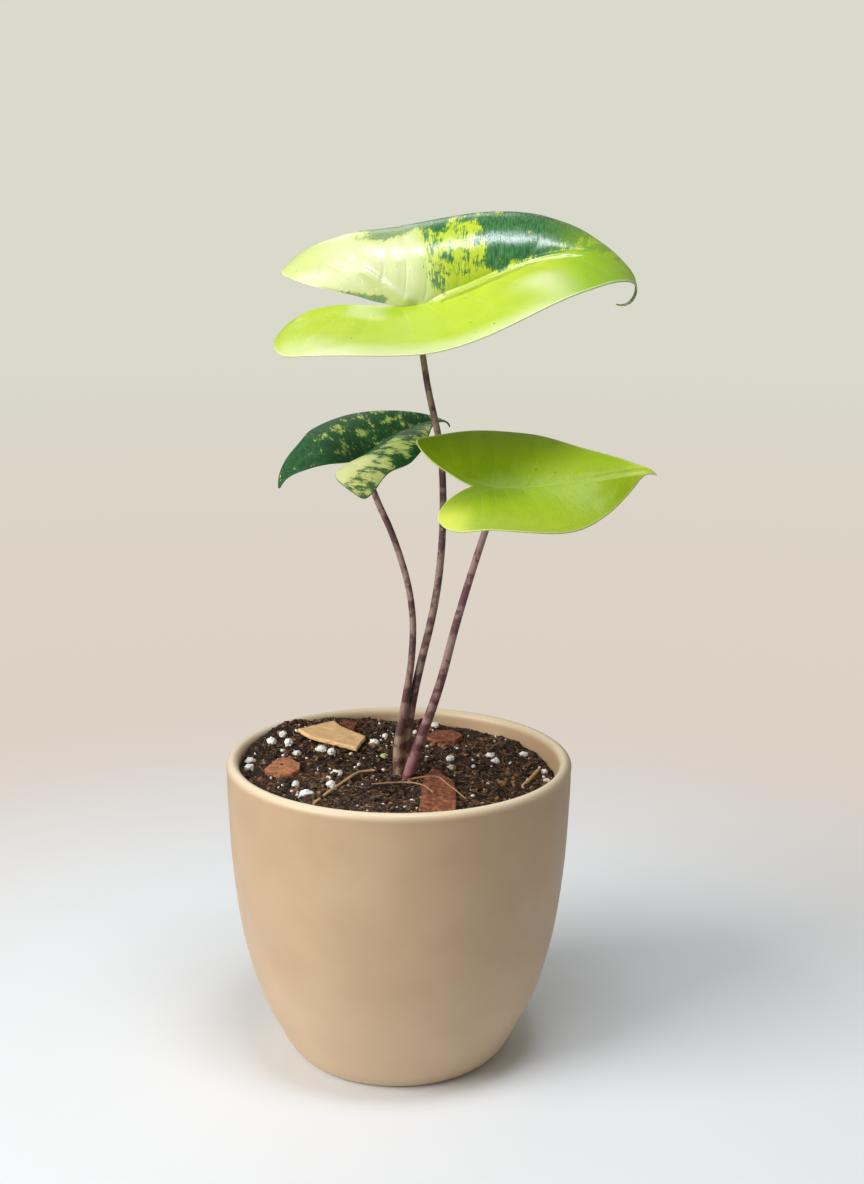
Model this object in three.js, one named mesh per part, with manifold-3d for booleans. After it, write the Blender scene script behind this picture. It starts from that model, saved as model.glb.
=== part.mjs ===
// A potted alocasia: a thick glazed ceramic pot filled with peaty potting mix, and a young plant with
// three arrow-shaped leaves on long stalks. Loose bark, wood, twigs and perlite lie on the soil.
// Millimetres, +Z up. The origin is the centre of the pot's base, on the surface it stands on.
// -Y is the front.
import * as THREE from 'three';
import { mergeVertices } from 'three/addons/utils/BufferGeometryUtils.js';
import Module from 'manifold-3d';

const wasm = await Module();
wasm.setup();

// Driving dimensions

const pot = {
  height: 116.5,
  rimRadius: 65,
  wall: 4.6,
  floorThickness: 6,
  sides: 44,              // a multiple of 4, so that the soil's facets lie along the pot's
  // outside, from the foot to just under the lip, as shares of the height and of the rim radius
  outline: [
    [0, 0.582], [0.008, 0.608], [0.02, 0.631], [0.05, 0.671], [0.1, 0.717], [0.18, 0.787],
    [0.24, 0.833], [0.31, 0.871], [0.45, 0.927], [0.65, 0.972], [0.85, 0.992], [1, 1],
  ],
};

const soil = {
  belowRim: 7,            // middle of the soil, under the rim
  slopeX: -0.05,          // falls to the right
  slopeY: 0.04,           // rises to the back
  heap: { height: 3.5, width: 18, at: [-46, 40] },
};

const gap = 0.3;          // between pieces that touch
const laidGap = 0.45;     // under loose pieces laid on the uneven soil
const buried = 9;         // how deep the leaf stalks stand in the soil
const leafThickness = 0.9;

// how finely the round pieces are faceted
const stalkFacets = { sides: 10, steps: 26 };
const socketFacets = { sides: 10, steps: 8 };
const twigFacets = { sides: 6, steps: 12 };
const leafRings = [0.25, 0.5, 0.75, 0.92, 1];   // from the stalk out to the margin

// Leaf stalks. Points are millimetres from the middle of the soil surface.
const tallStalk = {
  baseRadius: 1.75,
  topRadius: 1.15,
  points: [
    [2.5, 3.3, -buried], [2.5, 2.8, 10.5], [4.9, 1.9, 28.3], [8.6, 1.1, 46], [12.6, 0.2, 64.2],
    [15.1, -0.7, 84.5], [15.6, -1.8, 108.4], [14.2, -2.6, 126.9], [10.6, -3.4, 142.5],
    [8, -4, 157.1],
  ],
};
const leftStalk = {
  baseRadius: 1.6,
  topRadius: 1.1,
  pressedTo: 3,           // how many of the tall stalk's points it runs beside
  side: 220,              // degrees round the tall stalk
  points: [
    [4.3, -0.1, 43.2], [4.9, 1.1, 58.5], [3.1, 2.2, 72.3], [-3.1, 3.8, 91.9],
    [-9.6, 4.9, 106.2],
  ],
};
const rightStalk = {
  baseRadius: 2,
  topRadius: 1.15,
  points: [
    [1.5, -4, -buried], [3.2, -4.6, 0.1], [8.1, -7.2, 15.9], [15, -11.7, 38.3],
    [20.4, -16.5, 61.5], [25.6, -20.6, 81.4], [30.5, -24.1, 98.6],
  ],
};

// Leaves. A leaf is drawn flat, along its midrib from the stalk, and then bent.
// The outline is one half, from the notch between the lobes round to the tip, as shares of the
// apex length (or of the lobe length behind the stalk) and of the half width.
// Angles are degrees. A list of three is the value at the stalk, what the tip adds, and what the
// lobes add. pitch is the midrib's climb: at the stalk, then its linear and square change to the
// tip, then to the lobes.
const largeLeaf = {
  junction: [5.7, -4.8, 175.6],
  apexLength: 99.7,
  lobeLength: 44,
  halfWidth: 44,
  rightLobeLonger: 0.18,
  outline: [
    [-0.11, 0], [-0.45, 0.043], [-0.81, 0.14], [-0.98, 0.33], [-1, 0.55], [-0.86, 0.76],
    [-0.47, 0.98], [0, 1], [0.32, 0.88], [0.6, 0.655], [0.8, 0.27], [0.87, 0.045],
    [0.94, 0.02], [1, 0],
  ],
  heading: [4, 5, -22],
  pitch: { start: 9, tip: [111, -208], lobes: [-74, 98] },
  hook: { from: 0.77, angle: -111 },
  roll: [35, -56, -4],
  left: { fold: [63, -69, 2], curve: [-107, 17, -40] },
  right: { fold: [5, -46, 10], curve: [25, -25, -47] },
};
const limeLeaf = {
  junction: [34.9, -28, 114.6],
  apexLength: 56.3,
  lobeLength: 32.2,
  halfWidth: 29.7,
  rightLobeLonger: -0.38,
  outline: [
    [-0.31, 0], [-0.47, 0.08], [-0.84, 0.32], [-1, 0.53], [-0.86, 0.67], [-0.42, 0.93],
    [0, 1], [0.31, 0.91], [0.6, 0.53], [0.8, 0.235], [0.89, 0.085], [1, 0],
  ],
  heading: [-3, 8, 9],
  pitch: { start: -3, tip: [50, -44], lobes: [-4, -15] },
  hook: { from: 0.88, angle: -47 },
  roll: [22, 16, 13],
  left: { fold: [22, -30, -14], curve: [-21, -28, 4] },
  right: { fold: [-15, -39, -27], curve: [36, -31, -8] },
};
const marbledLeaf = {
  junction: [-13.3, 6, 119.6],
  apexLength: 45.2,
  lobeLength: 25.7,
  halfWidth: 25.5,
  rightLobeLonger: 0.09,
  outline: [
    [-0.12, 0], [-0.47, 0.125], [-0.91, 0.39], [-1, 0.87], [-0.84, 1], [-0.43, 0.94],
    [0, 1], [0.29, 0.87], [0.6, 0.49], [0.8, 0.23], [0.92, 0.07], [1, 0],
  ],
  heading: [50, -13, 1],
  pitch: { start: 20, tip: [-5, -17], lobes: [-36, 37] },
  hook: { from: 0.88, angle: -71 },
  roll: [-3, 7, -1],
  left: { fold: [44, -9, -14], curve: [-42, -11, -47] },
  right: { fold: [39, -13, -12], curve: [-80, -2, 2] },
};

// Loose pieces. Their places are millimetres on a soil bed of this radius, and spread with it.
const bedRadius = 60;
const chips = {
  wood_chip: {
    colour: '#e3b478',
    thickness: 1.8,
    outline: [
      [-40.5, 28.3], [-35.5, 23], [-30.6, 21.8], [-16.8, 17.8], [-13.9, 31], [-24.5, 38],
      [-27, 42.4], [-30.3, 38.9],
    ],
  },
  bark_chip_dark: {
    colour: '#5e4038',
    thickness: 2.2,
    outline: [[-24.3, 39.8], [-18.6, 37.6], [-17.6, 46.4], [-23.6, 47.6]],
  },
  bark_chip_left: {
    colour: '#9a5a3a',
    thickness: 2.4,
    outline: [
      [-50.5, -8.5], [-47.5, 0.2], [-45, 4.6], [-41.5, 4.2], [-37.5, -0.5], [-37.2, -6.4],
      [-40, -10.4], [-44.5, -11.6],
    ],
  },
  bark_chip_back: {
    colour: '#8a4630',
    thickness: 3,
    outline: [[9.8, 37], [14, 45], [21, 46.6], [25, 41], [21.6, 33.4], [13.6, 31.6]],
  },
  bark_chip_front: {
    colour: '#8c4c3c',
    thickness: 1.6,
    outline: [
      [9.2, -6], [12.4, 3.4], [16.2, 1.2], [17.4, -4.6], [20.4, -7], [21.6, -18.6],
      [21.4, -38], [7.8, -40], [8.4, -21],
    ],
  },
};
const twigs = {
  twig_long: {
    colour: '#c49a6c',
    radius: 0.65,
    points: [[-30.2, -38, 0], [-24.4, -23.4, 0], [-18.3, -10.4, 0], [-14.4, -2.4, 0], [-9.4, -1.6, 0]],
  },
  twig_right: {
    colour: '#6e4436',
    radius: 0.8,
    points: [[46.6, -9.6, 0], [50, -0.5, 0], [53.6, 9.4, 0]],
  },
  root_short: {
    colour: '#a5805f',
    radius: 0.4,
    points: [[-10, -15, 0], [-3, -13, 0.2], [3.6, -13.4, 1], [9.4, -18.6, 2.2], [13, -25.4, 2.2]],
  },
  root_long: {
    colour: '#8d6a54',
    radius: 0.4,
    points: [
      [4.6, -11.2, 1.4], [9.4, -10.2, 2.2], [14.4, -9, 2.2], [18, -15.6, 2.2], [21, -21.4, 2.2],
      [25, -27, 1],
    ],
  },
};
// perlite grains: place on the bed, and size across
const perlite = [
  [-50.1, 19.7, 4.1], [-46.2, 26.2, 3.7], [-43.4, 19.4, 3.9], [-39.6, 11, 3.4], [-45.4, 13.4, 1.9],
  [-56.6, 2.4, 3.7], [-56.2, -5.6, 3.9], [-37.9, -18, 3.6], [-33.4, -27.4, 4.3], [-30.6, 16, 4],
  [-26.4, 14.2, 3.6], [-26.2, -11, 2.2], [-24.9, -16.6, 4.4], [-23.4, -5.4, 4.2], [-10.2, 28, 4],
  [-6.4, 37.4, 2.8], [13.6, 52.4, 3.4], [5.5, 44.1, 2.4], [19.6, 17.6, 3.8], [19.6, 8, 2.8],
  [35.3, 22.5, 3.2], [37, 16.6, 3.6], [48.4, 25, 3.2], [55.6, 9.4, 2.9], [56.2, 1.4, 2.6],
  [28.4, 10, 2], [5.2, -25.4, 2], [27.6, -19.6, 1.9],
];
const bead = { at: [-6.4, 14.4], size: 2.9 };

// Pot

function potRadius(z) {
  const share = THREE.MathUtils.clamp(z / pot.height, 0, 1);
  const i = Math.max(1, pot.outline.findIndex(([height]) => height >= share));
  const [lowHeight, lowRadius] = pot.outline[i - 1];
  const [highHeight, highRadius] = pot.outline[i];
  const between = (share - lowHeight) / (highHeight - lowHeight);
  return pot.rimRadius * THREE.MathUtils.lerp(lowRadius, highRadius, between);
}

function innerRadius(z) {
  return potRadius(z) - pot.wall;
}

function potGeometry() {
  const lipRadius = pot.wall / 2;
  const lipCentre = new THREE.Vector2(pot.rimRadius - lipRadius, pot.height - lipRadius);
  const heights = pot.outline.map(([share]) => share * pot.height).filter((z) => z < lipCentre.y);
  const profile = [new THREE.Vector2(0, 0)];
  heights.forEach((z) => profile.push(new THREE.Vector2(potRadius(z), z)));
  for (let turn = 0; turn <= 6; turn++) {
    const angle = (turn / 6) * Math.PI;
    const corner = new THREE.Vector2(Math.cos(angle), Math.sin(angle));
    profile.push(corner.multiplyScalar(lipRadius).add(lipCentre));
  }
  heights.reverse().filter((z) => z > pot.floorThickness + gap)
    .forEach((z) => profile.push(new THREE.Vector2(innerRadius(z), z)));
  profile.push(new THREE.Vector2(innerRadius(pot.floorThickness), pot.floorThickness));
  profile.push(new THREE.Vector2(0, pot.floorThickness));
  return new THREE.LatheGeometry(profile, pot.sides).rotateX(Math.PI / 2);
}

// Soil

const soilLevel = pot.height - soil.belowRim;
const bedEdge = innerRadius(soilLevel) - gap;
const spread = bedEdge / bedRadius;

function soilHeight(x, y) {
  const fromHeap = Math.hypot(x - soil.heap.at[0] * spread, y - soil.heap.at[1] * spread);
  const heap = soil.heap.height * Math.exp(-(fromHeap ** 2) / (2 * soil.heap.width ** 2));
  return soilLevel + soil.slopeX * x + soil.slopeY * y + heap;
}

function ring(radiusAt, heightAt) {
  return Array.from({ length: pot.sides }, (_, i) => {
    const angle = (i / pot.sides) * 2 * Math.PI;
    const radius = radiusAt(angle);
    const x = radius * Math.cos(angle);
    const y = radius * Math.sin(angle);
    return new THREE.Vector3(x, y, heightAt(x, y));
  });
}

function soilGeometry() {
  const bottom = pot.floorThickness + gap;
  const rings = [];
  const sideHeights = pot.outline.map(([share]) => share * pot.height)
    .filter((z) => z > bottom + 2 && z < soilLevel - 8);
  for (const z of [bottom, ...sideHeights]) {
    rings.push(ring(() => innerRadius(z) - gap, () => z));
  }
  const edge = (angle) => {
    const z = soilHeight(bedEdge * Math.cos(angle), bedEdge * Math.sin(angle));
    return Math.min(innerRadius(z), innerRadius(soilLevel)) - gap;
  };
  for (const share of [1, 0.85, 0.7, 0.5, 0.3]) {
    rings.push(ring((angle) => edge(angle) * share, soilHeight));
  }
  return loft(rings);
}

// Closed bodies

// a closed skin over rings of points, with both ends closed to their middles
function loft(rings) {
  const sides = rings[0].length;
  const middle = (points) => points.reduce((sum, p) => sum.add(p), new THREE.Vector3())
    .divideScalar(points.length);
  const points = [middle(rings[0]), ...rings.flat(), middle(rings.at(-1))];
  return skin(points, rings.length, sides);
}

function skin(points, ringCount, sides) {
  const last = points.length - 1;
  const at = (r, i) => 1 + r * sides + (i % sides);
  const index = [];
  for (let i = 0; i < sides; i++) {
    index.push(0, at(0, i + 1), at(0, i));
    index.push(last, at(ringCount - 1, i), at(ringCount - 1, i + 1));
    for (let r = 0; r < ringCount - 1; r++) {
      index.push(at(r, i), at(r, i + 1), at(r + 1, i + 1));
      index.push(at(r, i), at(r + 1, i + 1), at(r + 1, i));
    }
  }
  return new THREE.BufferGeometry().setFromPoints(points).setIndex(index);
}

function welded(geometry) {
  const bare = geometry.clone();
  bare.deleteAttribute('normal');
  bare.deleteAttribute('uv');
  const merged = mergeVertices(bare, 1e-4);
  merged.computeVertexNormals();
  return merged;
}

function solid(geometry) {
  const { index, attributes } = welded(geometry);
  return new wasm.Manifold(new wasm.Mesh({
    numProp: 3,
    vertProperties: Float32Array.from(attributes.position.array),
    triVerts: Uint32Array.from(index.array),
  }));
}

function fromSolid(body) {
  const mesh = body.getMesh();
  const geometry = new THREE.BufferGeometry();
  geometry.setAttribute('position', new THREE.BufferAttribute(mesh.vertProperties, 3));
  geometry.setIndex(new THREE.BufferAttribute(mesh.triVerts, 1));
  return geometry;
}

// Stalks, twigs and roots

function tube(points, radiusAt, { sides, steps }) {
  const path = new THREE.CatmullRomCurve3(points, false, 'centripetal');
  const frames = path.computeFrenetFrames(steps, false);
  const rings = [];
  const addRing = (centre, radius, i) => {
    rings.push(Array.from({ length: sides }, (_, k) => {
      const angle = (k / sides) * 2 * Math.PI;
      return centre.clone()
        .addScaledVector(frames.normals[i], radius * Math.cos(angle))
        .addScaledVector(frames.binormals[i], radius * Math.sin(angle));
    }));
  };
  for (let i = 0; i <= steps; i++) addRing(path.getPointAt(i / steps), radiusAt(i / steps), i);
  const end = path.getPointAt(1);
  const endRadius = radiusAt(1);
  for (const degrees of [30, 65]) {
    const angle = THREE.MathUtils.degToRad(degrees);
    const centre = end.clone().addScaledVector(frames.tangents[steps], endRadius * Math.sin(angle));
    addRing(centre, endRadius * Math.cos(angle), steps);
  }
  return loft(rings);
}

function stalkRadius(stalk, share) {
  return stalk.topRadius + (stalk.baseRadius - stalk.topRadius) * (1 - share) ** 1.3;
}

const lifted = ([x, y, z]) => new THREE.Vector3(x, y, z + soilLevel);

// the leaf stalk's own points, and its end just under the leaf
function stalkPath(stalk, leaf) {
  const path = stalk.points.map(lifted);
  const clearance = leafThickness / 2 + gap + stalk.topRadius;
  path.push(leafPoint(leaf, 0, 0).addScaledVector(leafNormal(leaf, 0, 0), -clearance));
  return path;
}

function stalkGeometry(stalk, leaf) {
  return tube(stalkPath(stalk, leaf), (share) => stalkRadius(stalk, share), stalkFacets);
}

// the room a stalk's foot needs in the soil
function socketGeometry(stalk) {
  const foot = stalk.points.slice(0, 3).map(lifted);
  foot[0].z -= gap;
  return tube(foot, () => stalk.baseRadius + gap, socketFacets);
}

// the left stalk starts pressed to the tall one
function pressToTall() {
  const spacing = tallStalk.baseRadius + leftStalk.baseRadius + gap;
  const angle = THREE.MathUtils.degToRad(leftStalk.side);
  const beside = tallStalk.points.slice(0, leftStalk.pressedTo)
    .map(([x, y, z]) => [x + spacing * Math.cos(angle), y + spacing * Math.sin(angle), z]);
  leftStalk.points.unshift(...beside);
}

// Leaves

// half the flat outline, as smooth points
function halfOutline(leaf, perStretch) {
  const corners = leaf.outline.map(([along, across]) => new THREE.Vector2(
    along * (along < 0 ? leaf.lobeLength : leaf.apexLength),
    across * leaf.halfWidth,
  ));
  const edge = new THREE.SplineCurve(corners).getPoints((corners.length - 1) * perStretch);
  edge.forEach((point) => { point.y = Math.max(point.y, 0); });
  return edge;
}

// the whole outline, turning left: from the notch along the right half to the tip, and back
function wholeOutline(leaf) {
  const left = halfOutline(leaf, 2);
  const right = left.map((point) => {
    const intoLobe = THREE.MathUtils.clamp(-point.x / leaf.lobeLength, 0, 1);
    return new THREE.Vector2(point.x * (1 + leaf.rightLobeLonger * intoLobe), -point.y);
  });
  return [...right, ...left.slice(1, -1).reverse()];
}

const radians = THREE.MathUtils.degToRad;

function midribDirection(leaf, share) {
  const { pitch, hook, heading } = leaf;
  const side = share > 0 ? pitch.tip : pitch.lobes;
  const reach = Math.abs(share);
  const hooked = Math.max(0, (share - hook.from) / (1 - hook.from)) ** 1.5;
  const climb = radians(pitch.start + side[0] * reach + side[1] * reach ** 2 + hook.angle * hooked);
  const turn = radians(heading[0] + heading[share > 0 ? 1 : 2] * reach);
  return {
    along: new THREE.Vector3(
      Math.cos(climb) * Math.cos(turn),
      Math.cos(climb) * Math.sin(turn),
      Math.sin(climb),
    ),
    across: new THREE.Vector3(-Math.sin(turn), Math.cos(turn), 0),
  };
}

// where the midrib, and its line carried back between the lobes, has got to
function midribPoint(leaf, s) {
  const length = s > 0 ? leaf.apexLength : leaf.lobeLength;
  const steps = 40;
  const point = lifted(leaf.junction);
  for (let i = 0; i < steps; i++) {
    const { along } = midribDirection(leaf, ((i + 0.5) / steps) * (s / length));
    point.addScaledVector(along, s / steps);
  }
  return point;
}

// a point of the flat leaf, s along the midrib and t to its left, on the bent leaf
function leafPoint(leaf, s, t) {
  const share = s / (s > 0 ? leaf.apexLength : leaf.lobeLength);
  const blend = share ** 2;
  const mix = (three) => radians(three[0] + three[share > 0 ? 1 : 2] * blend);
  const { along, across } = midribDirection(leaf, share);
  const up = new THREE.Vector3().crossVectors(along, across);
  const roll = mix(leaf.roll);
  const side = across.clone().multiplyScalar(Math.cos(roll)).addScaledVector(up, Math.sin(roll));
  const normal = up.multiplyScalar(Math.cos(roll)).addScaledVector(across, -Math.sin(roll));
  const half = t < 0 ? leaf.right : leaf.left;
  const fold = mix(half.fold);
  const curve = mix(half.curve) || 1e-4;
  const end = fold + (curve * Math.abs(t)) / leaf.halfWidth;
  const scale = leaf.halfWidth / curve;
  return midribPoint(leaf, s)
    .addScaledVector(side, Math.sign(t) * scale * (Math.sin(end) - Math.sin(fold)))
    .addScaledVector(normal, scale * (Math.cos(fold) - Math.cos(end)));
}

function leafNormal(leaf, s, t) {
  const step = 0.4;
  const alongLeaf = leafPoint(leaf, s + step, t).sub(leafPoint(leaf, s - step, t));
  const acrossLeaf = leafPoint(leaf, s, t + step).sub(leafPoint(leaf, s, t - step));
  return alongLeaf.cross(acrossLeaf).normalize();
}

function leafGeometry(leaf) {
  const edge = wholeOutline(leaf);
  const face = (share, side) => edge.map((point) => {
    const [s, t] = [point.x * share, point.y * share];
    return leafPoint(leaf, s, t).addScaledVector(leafNormal(leaf, s, t), side * leafThickness / 2);
  });
  const centre = (side) => leafPoint(leaf, 0, 0)
    .addScaledVector(leafNormal(leaf, 0, 0), side * leafThickness / 2);
  const under = leafRings.map((share) => face(share, -1));
  const top = leafRings.map((share) => face(share, 1)).reverse();
  const rings = [...under, ...top];
  return skin([centre(-1), ...rings.flat(), centre(1)], rings.length, edge.length);
}

// Loose pieces

// a flat chip laid along the soil's slope, high enough to clear its bumps
function chipGeometry({ outline, thickness }) {
  const corners = outline.map(([x, y]) => new THREE.Vector2(x * spread, y * spread));
  const middle = corners.reduce((sum, c) => sum.add(c), new THREE.Vector2())
    .divideScalar(corners.length);
  const reach = 4;
  const at = soilHeight(middle.x, middle.y);
  const slopeX = (soilHeight(middle.x + reach, middle.y) - at) / reach;
  const slopeY = (soilHeight(middle.x, middle.y + reach) - at) / reach;
  const plane = (x, y) => at + slopeX * (x - middle.x) + slopeY * (y - middle.y);
  let lift = 0;
  for (const corner of corners) {
    for (const share of [0, 0.5, 1]) {
      const probe = middle.clone().lerp(corner, share);
      lift = Math.max(lift, soilHeight(probe.x, probe.y) - plane(probe.x, probe.y));
    }
  }
  const geometry = new THREE.ExtrudeGeometry(new THREE.Shape(corners), {
    depth: thickness,
    bevelEnabled: false,
  });
  const place = geometry.attributes.position;
  for (let i = 0; i < place.count; i++) {
    const z = place.getZ(i) + plane(place.getX(i), place.getY(i)) + lift + laidGap;
    place.setZ(i, z);
  }
  return geometry;
}

function twigGeometry({ points, radius }) {
  const path = points.map(([x, y, raise]) => new THREE.Vector3(
    x * spread,
    y * spread,
    soilHeight(x * spread, y * spread) + raise + radius + laidGap,
  ));
  return tube(path, (share) => radius * (1 - 0.3 * share), twigFacets);
}

function grainGeometry([x, y, size], turn) {
  const geometry = new THREE.DodecahedronGeometry(size / 2);
  geometry.scale(1, 0.9, 0.8);
  geometry.rotateZ(turn);
  geometry.rotateX(0.3 * Math.sin(turn * 2));
  const height = soilHeight(x * spread, y * spread) + size / 2 + gap;
  return geometry.translate(x * spread, y * spread, height);
}

// The whole object

const group = new THREE.Group();

function add(name, geometry, colour, roughness = 0.8) {
  const material = new THREE.MeshStandardMaterial({ color: colour, roughness, metalness: 0 });
  const mesh = new THREE.Mesh(welded(geometry), material);
  mesh.name = name;
  group.add(mesh);
}

pressToTall();

add('pot', potGeometry(), '#cdaa84', 0.45);

const stalks = [tallStalk, leftStalk, rightStalk];
const bed = stalks.reduce(
  (body, stalk) => body.subtract(solid(socketGeometry(stalk))),
  solid(soilGeometry()),
);
add('soil', fromSolid(bed), '#2e221d', 0.95);

add('petiole_tall', stalkGeometry(tallStalk, largeLeaf), '#7d6660', 0.5);
add('petiole_left', stalkGeometry(leftStalk, marbledLeaf), '#7a625c', 0.5);
add('petiole_right', stalkGeometry(rightStalk, limeLeaf), '#85646a', 0.5);
add('leaf_large', leafGeometry(largeLeaf), '#a8cc2c', 0.35);
add('leaf_marbled', leafGeometry(marbledLeaf), '#2f6a3a', 0.35);
add('leaf_lime', leafGeometry(limeLeaf), '#93bf1c', 0.4);

for (const [name, chip] of Object.entries(chips)) add(name, chipGeometry(chip), chip.colour);
for (const [name, twig] of Object.entries(twigs)) add(name, twigGeometry(twig), twig.colour);

const goldenTurn = Math.PI * (3 - Math.sqrt(5));
perlite.forEach((grain, i) => {
  const number = String(i + 1).padStart(2, '0');
  add(`perlite_${number}`, grainGeometry(grain, i * goldenTurn), '#ecebe6', 0.9);
});
add('fertiliser_bead', grainGeometry([...bead.at, bead.size], 0), '#cfd58a', 0.5);

export default group;
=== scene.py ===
# A potted alocasia. A young plant with three arrow-shaped leaves, in a spun stoneware pot of peat mix.
import math
import random

import bmesh
import bpy
import numpy as np
from mathutils import Euler, Matrix, Vector, noise
from mathutils.bvhtree import BVHTree


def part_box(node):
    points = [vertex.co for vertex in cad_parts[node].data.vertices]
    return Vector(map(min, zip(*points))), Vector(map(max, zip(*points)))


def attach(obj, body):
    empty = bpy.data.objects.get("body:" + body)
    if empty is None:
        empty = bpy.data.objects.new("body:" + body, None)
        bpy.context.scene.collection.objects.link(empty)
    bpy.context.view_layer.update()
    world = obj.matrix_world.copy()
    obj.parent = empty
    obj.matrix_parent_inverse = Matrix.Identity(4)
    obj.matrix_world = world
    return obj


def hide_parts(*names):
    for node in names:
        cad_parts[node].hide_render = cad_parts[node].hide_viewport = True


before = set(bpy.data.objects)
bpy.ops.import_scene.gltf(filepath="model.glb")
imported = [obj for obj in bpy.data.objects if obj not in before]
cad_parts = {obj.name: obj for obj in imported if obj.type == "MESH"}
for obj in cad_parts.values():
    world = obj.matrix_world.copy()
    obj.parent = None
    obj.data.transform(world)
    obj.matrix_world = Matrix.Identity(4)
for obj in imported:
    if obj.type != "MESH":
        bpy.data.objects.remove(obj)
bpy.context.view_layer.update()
mm = 0.001


# helpers for modelling

def deselectAll():
    if bpy.context.object and bpy.context.object.mode != "OBJECT":
        bpy.ops.object.mode_set(mode="OBJECT")
    bpy.ops.object.select_all(action="DESELECT")


def activate(piece):
    deselectAll()
    piece.select_set(True)
    bpy.context.view_layer.objects.active = piece


def applyModifier(piece, kind, **settings):
    activate(piece)
    modifier = piece.modifiers.new(kind.lower(), kind)
    for name, value in settings.items():
        setattr(modifier, name, value)
    bpy.ops.object.modifier_apply(modifier=modifier.name)


def finishPiece(piece, name, materials, nodes=(), sharpAngle=None):
    activate(piece)
    bpy.ops.object.transform_apply(location=True, rotation=True, scale=True)
    piece.name = name
    piece.data.name = name
    piece.data.materials.clear()
    for material in materials:
        piece.data.materials.append(material)
    if sharpAngle is None:
        bpy.ops.object.shade_smooth()
    else:
        bpy.ops.object.shade_smooth_by_angle(angle=math.radians(sharpAngle))
    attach(piece, "root")
    if nodes:
        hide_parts(*nodes)
    return piece


# joins points closer than this, and turns the faces outwards
def cleanMesh(piece, within=None, outwards=True):
    activate(piece)
    bpy.ops.object.mode_set(mode="EDIT")
    bpy.ops.mesh.select_all(action="SELECT")
    if within:
        bpy.ops.mesh.remove_doubles(threshold=within)
    if outwards:
        bpy.ops.mesh.normals_make_consistent(inside=False)
    bpy.ops.object.mode_set(mode="OBJECT")


def addMesh(name, places, faces):
    mesh = bpy.data.meshes.new(name)
    mesh.from_pydata(places, [], faces)
    piece = bpy.data.objects.new(name, mesh)
    bpy.context.scene.collection.objects.link(piece)
    return piece


def surfaceOf(piece):
    data = piece.data
    return BVHTree.FromPolygons([v.co for v in data.vertices], [p.vertices for p in data.polygons])


# a smooth curve through the points, as in a drawn outline
def throughPoints(points, steps):
    points = [np.array(point, float) for point in points]
    padded = [points[0], *points, points[-1]]
    curve = []
    for before, start, end, after in zip(padded, padded[1:], padded[2:], padded[3:]):
        for i in range(steps):
            u = i / steps
            curve.append(0.5 * (2 * start + (end - before) * u
                                + (2 * before - 5 * start + 4 * end - after) * u ** 2
                                + (3 * start - before - 3 * end + after) * u ** 3))
    curve.append(points[-1])
    return np.array(curve)


# a copy of a CAD node with its loose triangles joined
def joinedCopy(node):
    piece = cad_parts[node].copy()
    piece.data = piece.data.copy()
    for key in [key for key in piece.keys() if key.startswith("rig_")]:
        del piece[key]
    bpy.context.scene.collection.objects.link(piece)
    cleanMesh(piece, 0.01 * mm, outwards=False)
    return piece


# the points where a plane cuts a CAD node
def cutPoints(node, place, direction):
    cut = bmesh.new()
    cut.from_mesh(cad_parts[node].data)
    found = bmesh.ops.bisect_plane(
        cut, geom=cut.verts[:] + cut.edges[:] + cut.faces[:], plane_co=place, plane_no=direction)
    points = [Vector(v.co) for v in found["geom_cut"] if isinstance(v, bmesh.types.BMVert)]
    cut.free()
    return points


# middles of even cuts along a slender CAD node, and its half thickness there
def centreline(node, count, direction):
    direction = Vector(direction).normalized()
    reach = [v.co.dot(direction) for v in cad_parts[node].data.vertices]
    start, run = min(reach), max(reach) - min(reach)
    path, radii = [], []
    for i in range(count):
        share = 0.01 + 0.98 * i / (count - 1)
        points = cutPoints(node, direction * (start + run * share), direction)
        middle = Vector([(min(p[k] for p in points) + max(p[k] for p in points)) / 2 for k in range(3)])
        path.append(middle)
        radii.append(max((p - middle).length for p in points))
    return path, radii


def setAttribute(piece, name, values):
    values = np.asarray(values, float)
    kind = "FLOAT" if values.ndim == 1 else "FLOAT_VECTOR"
    field = "value" if values.ndim == 1 else "vector"
    attribute = piece.data.attributes.new(name, kind, "POINT")
    attribute.data.foreach_set(field, values.astype(np.float32).ravel())


def getPlaces(piece):
    places = np.empty(len(piece.data.vertices) * 3, np.float32)
    piece.data.vertices.foreach_get("co", places)
    return places.reshape(-1, 3).astype(float)


def setPlaces(piece, places):
    piece.data.vertices.foreach_set("co", np.asarray(places, np.float32).ravel())
    piece.data.update()


# leaves the piece in edit mode with only these points selected
def selectPoints(piece, chosen):
    activate(piece)
    bpy.ops.object.mode_set(mode="EDIT")
    bpy.ops.mesh.select_mode(type="VERT")
    bpy.ops.mesh.select_all(action="DESELECT")
    bpy.ops.object.mode_set(mode="OBJECT")
    piece.data.vertices.foreach_set("select", chosen)
    bpy.ops.object.mode_set(mode="EDIT")


def smoothStep(start, end, value):
    share = np.clip((np.asarray(value, float) - start) / (end - start), 0, 1)
    return share * share * (3 - 2 * share)


# helpers for materials

def linear(hexColour):
    parts = [int(hexColour[i:i + 2], 16) / 255 for i in (1, 3, 5)]
    return (*[c / 12.92 if c <= 0.04045 else ((c + 0.055) / 1.055) ** 2.4 for c in parts], 1)


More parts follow.
